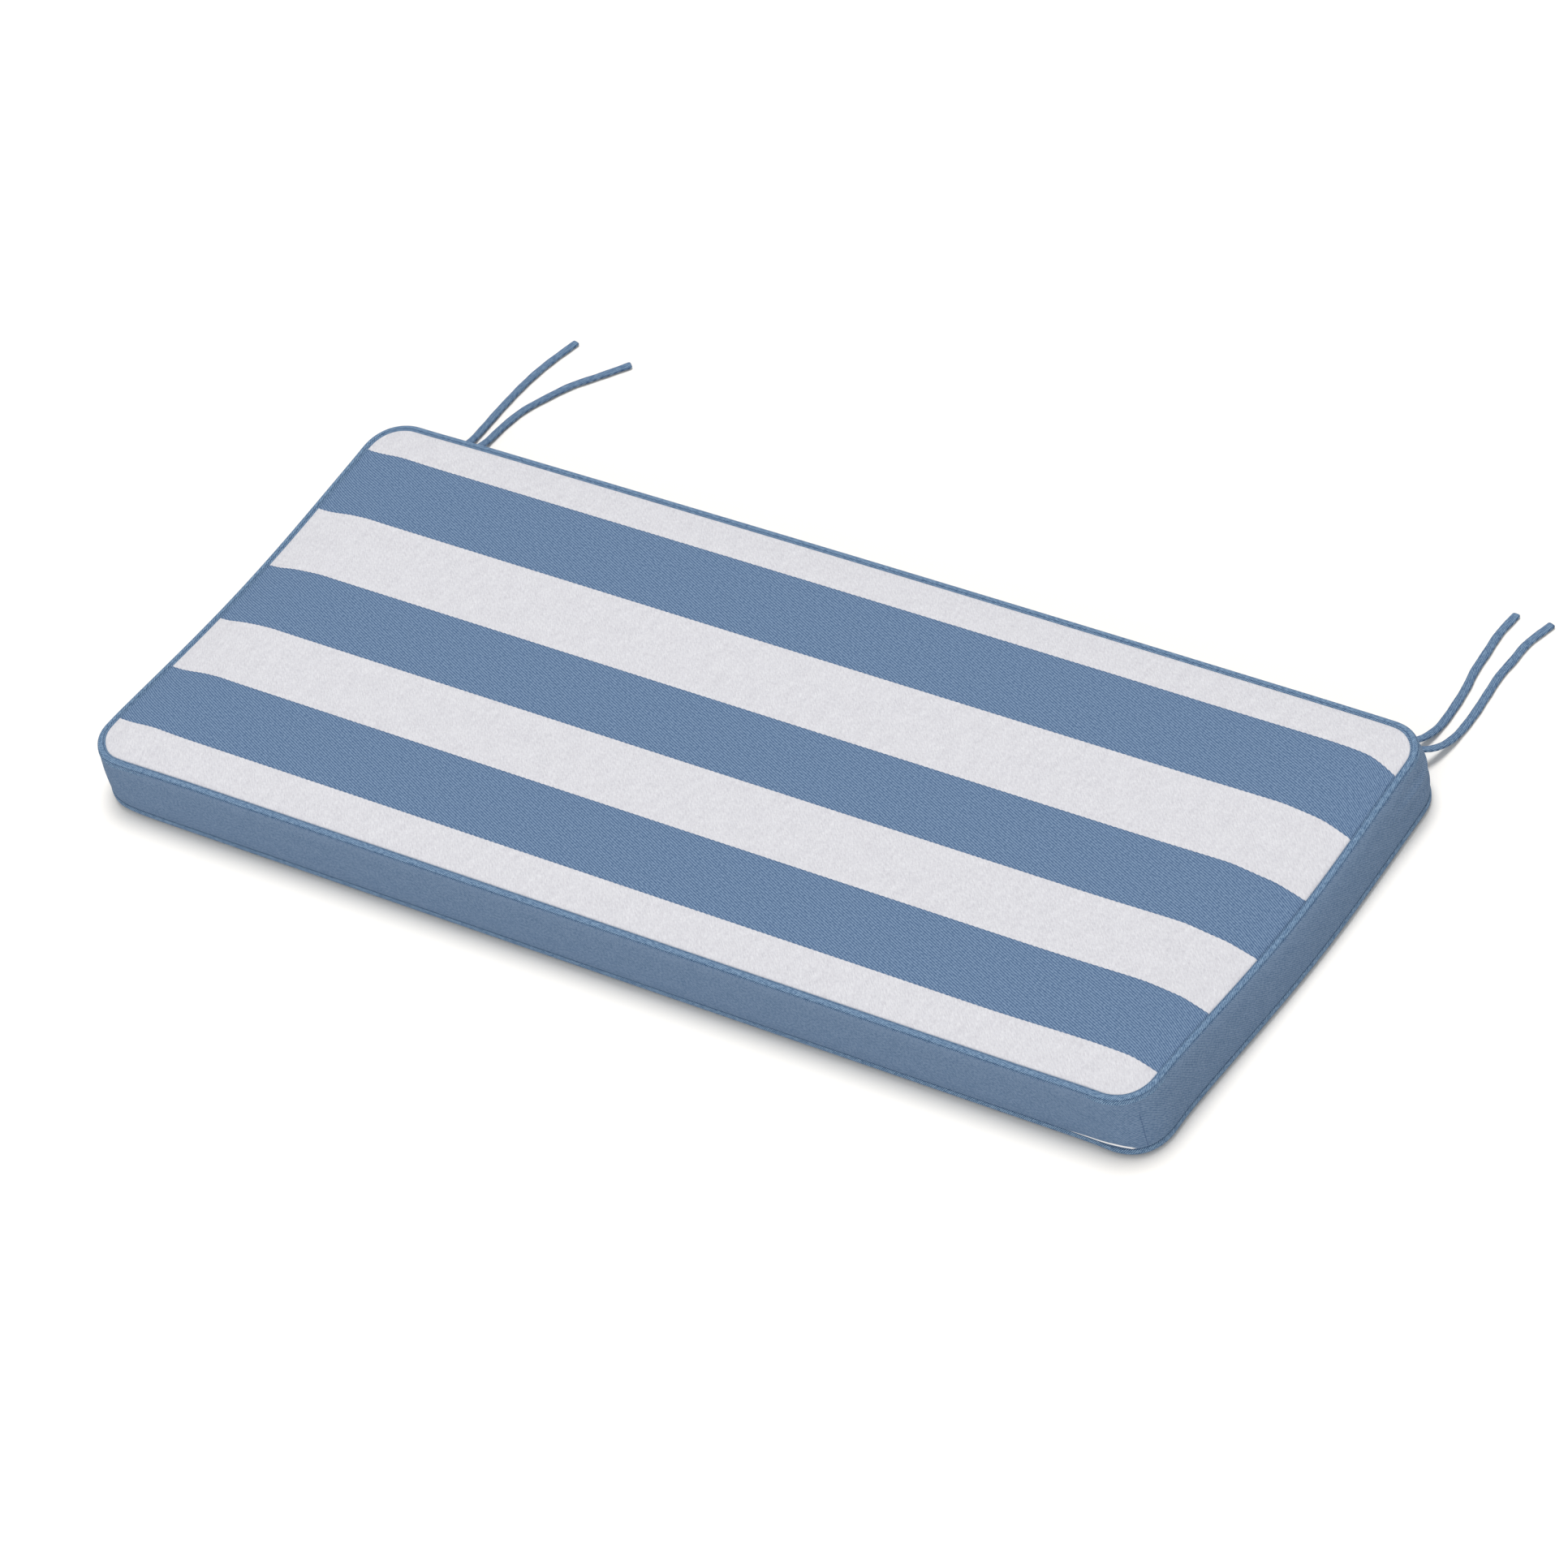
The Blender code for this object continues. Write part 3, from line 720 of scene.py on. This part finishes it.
class Cover:
    """The cover's mesh: the top panel's grid, rings from there to the underside, and the underside."""

    def __init__(self):
        xs, ys = grid_lines()
        self.outline = Outline(xs, ys)
        grid, flat, loop = panel_grid(xs, ys, self.outline)
        self.verts, self.folds = [grid], [np.zeros_like(grid)]
        self.free = [True] * len(grid)      # vertices that no seam holds
        self.faces, self.corners, self.kinds = [], [], []
        for i in range(len(xs) - 1):
            for j in range(len(ys) - 1):
                a, b = i * len(ys) + j, (i + 1) * len(ys) + j
                self.add_face((a, b, b + 1, a + 1), flat[[a, b, b + 1, a + 1]], TOP)
        self.last, self.last_flat, self.last_down = loop, flat[loop], 0
        for places, kind, down in cover_rings(self.outline):
            self.add_ring(places, kind, down)
        for strip in underside_strips(len(xs), len(ys), self.outline.count):
            self.add_face([self.last[k] for k in strip], self.last_flat[strip], UNDER)

    def add_face(self, face, flat, kind):
        self.faces.append(tuple(face))
        self.corners += [tuple(measures) for measures in flat]
        self.kinds.append(TOP if kind == SEAM else kind)

    def add_ring(self, places, kind, down):
        """Add a ring of vertices below the last one, and the faces between the two."""
        outline, last, last_flat = self.outline, self.last, self.last_flat
        here = list(range(len(self.free), len(self.free) + outline.count))
        flat = cloth_measures(places if kind == UNDER else places - outline.drift)
        for k in range(outline.count):
            n = (k + 1) % outline.count
            measures = (last_flat[k], flat[k], flat[n], last_flat[n])
            if kind == BOXING:
                a, b = outline.along[k], outline.along[k + 1]
                measures = ((a, -self.last_down), (a, -down), (b, -down), (b, -self.last_down))
            self.add_face((last[k], here[k], here[n], last[n]), measures, kind)
        share = down / BOXING_DEPTH
        self.verts.append(places)
        self.folds.append(outline.folds(share) if kind == BOXING else np.zeros_like(places))
        self.free += [kind == TOP or HELD_SHARE < share < 1 - HELD_SHARE] * outline.count
        self.last, self.last_flat, self.last_down = here, flat, down


def underside_strips(nx, ny, count):
    """Strips from front to back that close the last ring, as stations of the outline."""
    strips = [list(range(nx - 2, nx + ny))]
    strips.append(list(range(2 * nx + ny - 4, count)) + [0, 1])
    for k in range(1, nx - 2):
        back = 2 * nx + ny - 3 - k
        strips.append([k, k + 1, back - 1, back])
    return strips


def striped_cloth():
    graph = Graph("striped_cover")
    x, y = graph.cloth_place()
    ribs = graph.ribs(x, y, TWILL_PITCH, TWILL_ANGLE)
    fine = graph.noise(x, y, 0.0007, 0.0007, seed=2.0)
    # The edge follows the weave in little steps and is darkest just inside the blue.
    level = graph.add(y, graph.add(graph.times(ribs, STRIPE_STEPS), graph.times(fine, STRIPE_FRAY)))
    inside, rim = None, None
    for back, front in BLUE_STRIPES:
        middle, half = (back + front) / 2, (back - front) / 2
        stripe = graph.band(level, middle, half, STRIPE_SOFTNESS)
        core = graph.band(level, middle, half - RIM_WIDTH, RIM_SOFTNESS)
        inside = stripe if inside is None else graph.add(inside, stripe)
        rim = core if rim is None else graph.add(rim, core)
    grain = graph.noise(x, y, 0.0022, 0.0022, detail=2.0, seed=13.0)
    tone = graph.math("MULTIPLY_ADD", ribs, 0.42, graph.math("MULTIPLY_ADD", grain, 1.4, 0.48), clamp=True)
    blue = graph.tint(tone, COVER_BLUES)
    blue = graph.mix(graph.math("MULTIPLY_ADD", rim, -0.35, 0.35, clamp=True), blue, seen(COVER_RIM))
    across, along = graph.turned(x, y, radians(45))
    streaks = graph.noise(across, along, 0.0010, 0.0060, detail=2.0, seed=5.0)
    mottle = graph.noise(x, y, 0.010, 0.020, detail=2.0, seed=9.0)
    tone = graph.add(graph.times(streaks, 1.8), graph.add(graph.times(mottle, 0.6), graph.times(grain, 1.0)))
    white = graph.tint(graph.math("ADD", tone, 0.5, clamp=True), COVER_WHITES)
    colour = graph.mix(inside, white, blue)
    height = graph.add(graph.times(ribs, inside), graph.times(streaks, 1.5))
    return graph.finish(colour, height, depth=0.00012, strength=0.3)


def boxing_cloth():
    graph = Graph("boxing_cloth")
    along, level = graph.cloth_place()
    share = graph.times(level, -1 / BOXING_DEPTH)   # 0 at the top welt, 1 at the bottom one
    ribs = graph.ribs(along, level, BOXING_PITCH, BOXING_ANGLE)
    mottle = graph.noise(along, level, 0.012, 0.009, detail=3.0, seed=4.0)
    grain = graph.noise(along, level, 0.0024, 0.0018, detail=2.0, seed=14.0)
    tone = graph.add(graph.times(ribs, 0.42), graph.add(graph.times(mottle, 0.5), graph.times(grain, 1.6)))
    # Painted light makes the cloth a little paler where it turns over the top seam, and painted shade makes
    # it darker low down.
    painted_light = graph.math("MULTIPLY_ADD", share, -1 / PAINTED_LIGHT_SHARE, 1.0, clamp=True)
    painted_light_tone = graph.math("MULTIPLY_ADD", share, -0.12, graph.math("MULTIPLY_ADD", painted_light, 0.18, 0.55))
    colour = graph.tint(graph.math("ADD", tone, painted_light_tone, clamp=True), BOXING_BLUES)
    # Painted shade in the crease beside each welt, mixed with the seam's stitching, which the ribs break into
    # dots.
    crease_shade = graph.math("MINIMUM", share, graph.math("SUBTRACT", 1.0, share))
    crease_shade = graph.math("MULTIPLY_ADD", crease_shade, -1 / CREASE_SHARE, 1.0, clamp=True)
    stitches = graph.math("MULTIPLY_ADD", ribs, 0.25, 0.75)
    colour = graph.mix(graph.times(crease_shade, graph.times(stitches, 0.55)), colour, seen(BOXING_CREASE_SHADE))
    colour = corner_seam(graph, colour, along, level, share)
    colour = bottom_gap(graph, colour, along, share)
    return graph.finish(colour, ribs, depth=0.0001, strength=0.25)


def corner_seam(graph, colour, along, level, share):
    """The upright seam where the two ends of the boxing meet, with its row of stitches."""
    bend = graph.times(graph.noise(along, level, 0.02, 0.02, seed=21.0), SEAM_WANDER)
    line = graph.band(graph.add(along, bend), SEAM_PLACE, SEAM_HALF_WIDTH, SEAM_SOFTNESS)
    stitches = graph.math("SINE", graph.times(level, 2 * pi / SEAM_STITCH))
    line = graph.times(line, graph.math("MULTIPLY_ADD", stitches, 0.25, 0.6))
    start = graph.math("MULTIPLY_ADD", share, 1 / 0.1, -SEAM_TOP / 0.1, clamp=True)
    return graph.mix(graph.times(line, start), colour, seen(BOXING_STITCH))


def bottom_gap(graph, colour, along, share):
    """The narrow opening of the bottom seam near the front right corner."""
    off = graph.math("SUBTRACT", along, GAP_MIDDLE)
    left = graph.math("MULTIPLY", off, -1 / GAP_REACH[0], clamp=True)
    right = graph.math("MULTIPLY", off, 1 / GAP_REACH[1], clamp=True)
    fall = graph.add(graph.times(left, graph.math("SUBTRACT", 2.0, left)), graph.times(right, right))
    level = graph.math("MULTIPLY_ADD", fall, GAP_DROP, GAP_LEVEL)
    near = graph.math("MULTIPLY_ADD", graph.math("MAXIMUM", left, right), -5.0, 5.0, clamp=True)
    width = graph.times(graph.math("MULTIPLY_ADD", left, -1.0, 1.15, clamp=True), GAP_HALF_WIDTH)
    gap = graph.times(graph.band(share, level, width, GAP_SOFTNESS), near)
    below = graph.math("SUBTRACT", share, level)
    below = graph.times(graph.math("MULTIPLY_ADD", below, 1 / GAP_SOFTNESS, -1.0, clamp=True), near)
    colour = graph.mix(graph.times(below, 0.5), colour, seen(GAP_SHADE))
    return graph.mix(gap, colour, seen(GAP_WHITE))


def add_cloth(cover, free):
    """A cloth simulation that presses the free vertices out from inside and holds the others."""
    held = cover.vertex_groups.new(name="held")
    held.add([int(k) for k in np.flatnonzero(~free)], 1.0, "REPLACE")
    cloth = cover.modifiers.new("swell", "CLOTH")
    cloth.settings.vertex_group_mass = held.name
    cloth.settings.use_pressure = True
    cloth.settings.uniform_pressure_force = SWELL_PRESSURE
    cloth.settings.effector_weights.gravity = 0
    cloth.collision_settings.use_collision = False
    cloth.point_cache.frame_start = 1
    cloth.point_cache.frame_end = SWELL_FRAMES


def swell(cover, free):
    """Press the cloth out between its seams, with no vertex moving further than SWELL."""
    normals = np.array([vertex.normal for vertex in cover.data.vertices])
    move_vertices(cover.data, normals * -SWELL * free[:, None])
    start = vertex_places(cover.data)
    add_cloth(cover, free)
    for moment in range(1, SWELL_FRAMES + 1):
        bpy.context.scene.frame_set(moment)
    swollen = cover.evaluated_get(bpy.context.evaluated_depsgraph_get()).data
    moved = vertex_places(swollen) - start
    length = np.linalg.norm(moved, axis=1)
    moved *= np.minimum(1, SWELL / np.maximum(length, 1e-9))[:, None]
    cover.modifiers.clear()
    cover.vertex_groups.clear()
    bpy.context.scene.frame_set(1)
    move_vertices(cover.data, moved)


def vertex_places(mesh):
    return np.array([vertex.co for vertex in mesh.vertices])


def move_vertices(mesh, moves):
    mesh.vertices.foreach_set("co", (vertex_places(mesh) + moves).astype(np.float32).ravel())
    mesh.update()


def build_cover():
    made = Cover()
    striped = striped_cloth()
    cover = mesh_object("cushion_cover", np.concatenate(made.verts), made.faces, made.corners,
                        [striped, boxing_cloth(), striped], made.kinds)
    swell(cover, np.array(made.free))
    move_vertices(cover.data, np.concatenate(made.folds))
    smooth = cover.modifiers.new("smooth", "SUBSURF")
    smooth.levels = smooth.render_levels = 1
    smooth.boundary_smooth = "PRESERVE_CORNERS"
    bpy.context.view_layer.update()
    evaluated = cover.evaluated_get(bpy.context.evaluated_depsgraph_get())
    mesh = bpy.data.meshes.new_from_object(evaluated)
    cover.modifiers.clear()
    cover.data = mesh
    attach(cover, "root")
    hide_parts("cushion")


# ================================================================ welts
def welt_cloth():
    graph = Graph("welt_cloth")
    along, around = graph.cloth_place()
    ribs = graph.ribs(along, around, WELT_PITCH, WELT_ANGLE, wander=0.15, uneven=0.9)
    grain = graph.noise(along, around, 0.0036, 0.0024, detail=2.0, seed=15.0)
    tone = graph.math("MULTIPLY_ADD", ribs, 0.50, graph.math("MULTIPLY_ADD", grain, 1.6, 0.46), clamp=True)
    colour = graph.tint(tone, WELT_BLUES)
    # Dark lines where the cloth meets the welt: stitching, with painted shade of the crevice.
    for angle in WELT_LINES:
        line = graph.band(around, WELT_RADIUS * radians(angle), *WELT_LINE_WIDTH)
        line = graph.times(line, graph.math("MULTIPLY_ADD", ribs, -0.35, 0.75, clamp=True))
        colour = graph.mix(line, colour, seen(WELT_STITCH_AND_SHADE))
    return graph.finish(colour, ribs, depth=0.0002, strength=0.4)


def even_loop(loop, spacing):
    """Points at an even spacing on a closed line, and how far along it each lies."""
    loop = np.concatenate([loop, loop[:1]])
    travelled = np.concatenate([[0], np.cumsum(np.linalg.norm(np.diff(loop, axis=0), axis=1))])
    count = round(travelled[-1] / spacing)
    wanted = np.linspace(0, travelled[-1], count + 1)[:-1]
    return np.stack([np.interp(wanted, travelled, loop[:, c]) for c in range(3)], 1), wanted


def welt_vertices(centre):
    ahead = np.roll(centre, -1, 0) - np.roll(centre, 1, 0)
    ahead /= np.linalg.norm(ahead, axis=1)[:, None]
    outward = np.cross(ahead, (0, 0, 1))
    outward /= np.linalg.norm(outward, axis=1)[:, None]
    up = np.cross(outward, ahead)
    turns = [2 * pi * k / WELT_SIDES for k in range(WELT_SIDES)]
    rings = [centre + WELT_RADIUS * (outward * cos(turn) + up * sin(turn)) for turn in turns]
    return np.stack(rings, 1).reshape(-1, 3)


def build_welt(name, top, material):
    """The covered cord in one seam, as a closed tube."""
    centre, travelled = even_loop(Outline(*grid_lines()).seam(top), WELT_SPACING)
    faces, corners = [], []
    girth = 2 * pi * WELT_RADIUS / WELT_SIDES
    for k, a in enumerate(travelled):
        here, ahead = k * WELT_SIDES, (k + 1) % len(travelled) * WELT_SIDES
        b = a + WELT_SPACING
        for j in range(WELT_SIDES):
            m = (j + 1) % WELT_SIDES
            faces.append((here + j, ahead + j, ahead + m, here + m))
            corners += [(a, j * girth), (b, j * girth), (b, (j + 1) * girth), (a, (j + 1) * girth)]
    welt = mesh_object(name + "_cloth", welt_vertices(centre), faces, corners, [material])
    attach(welt, "root")
    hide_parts(name)


def tie_cloth():
    graph = Graph("tie_cloth")
    along, across = graph.cloth_place()
    ribs = graph.ribs(along, across, TIE_PITCH, TIE_ANGLE, wander=0.20, uneven=1.1)
    grain = graph.noise(along, across, 0.0050, 0.0016, detail=2.0, seed=17.0)
    tone = graph.math("MULTIPLY_ADD", ribs, 0.46, graph.math("MULTIPLY_ADD", grain, 1.8, 0.46), clamp=True)
    colour = graph.tint(tone, TIE_BLUES)
    # Painted shade along both edges of the tie, where its section turns down.
    for side in (-1, 1):
        line = graph.band(across, side * TIE_SHADE_LINE, *TIE_SHADE_LINE_WIDTH)
        colour = graph.mix(graph.times(line, 0.45), colour, seen(TIE_EDGE_SHADE))
    return graph.finish(colour, ribs, depth=0.0002, strength=0.4)


# ================================================================ the scene
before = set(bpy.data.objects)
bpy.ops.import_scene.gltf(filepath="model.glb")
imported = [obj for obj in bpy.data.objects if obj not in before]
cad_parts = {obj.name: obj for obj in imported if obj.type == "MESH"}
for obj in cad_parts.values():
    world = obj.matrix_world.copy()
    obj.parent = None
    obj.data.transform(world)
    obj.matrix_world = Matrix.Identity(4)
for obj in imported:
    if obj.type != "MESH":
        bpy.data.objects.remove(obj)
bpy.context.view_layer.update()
make_camera()
tie_material = tie_cloth()
for tie_name, (tie_start, tie_points) in TIES.items():
    build_tie(tie_name, tie_start, tie_points, tie_material)
make_floor()
make_light()
build_cover()
welt_material = welt_cloth()
build_welt("welt_top", 1, welt_material)
build_welt("welt_bottom", 0, welt_material)
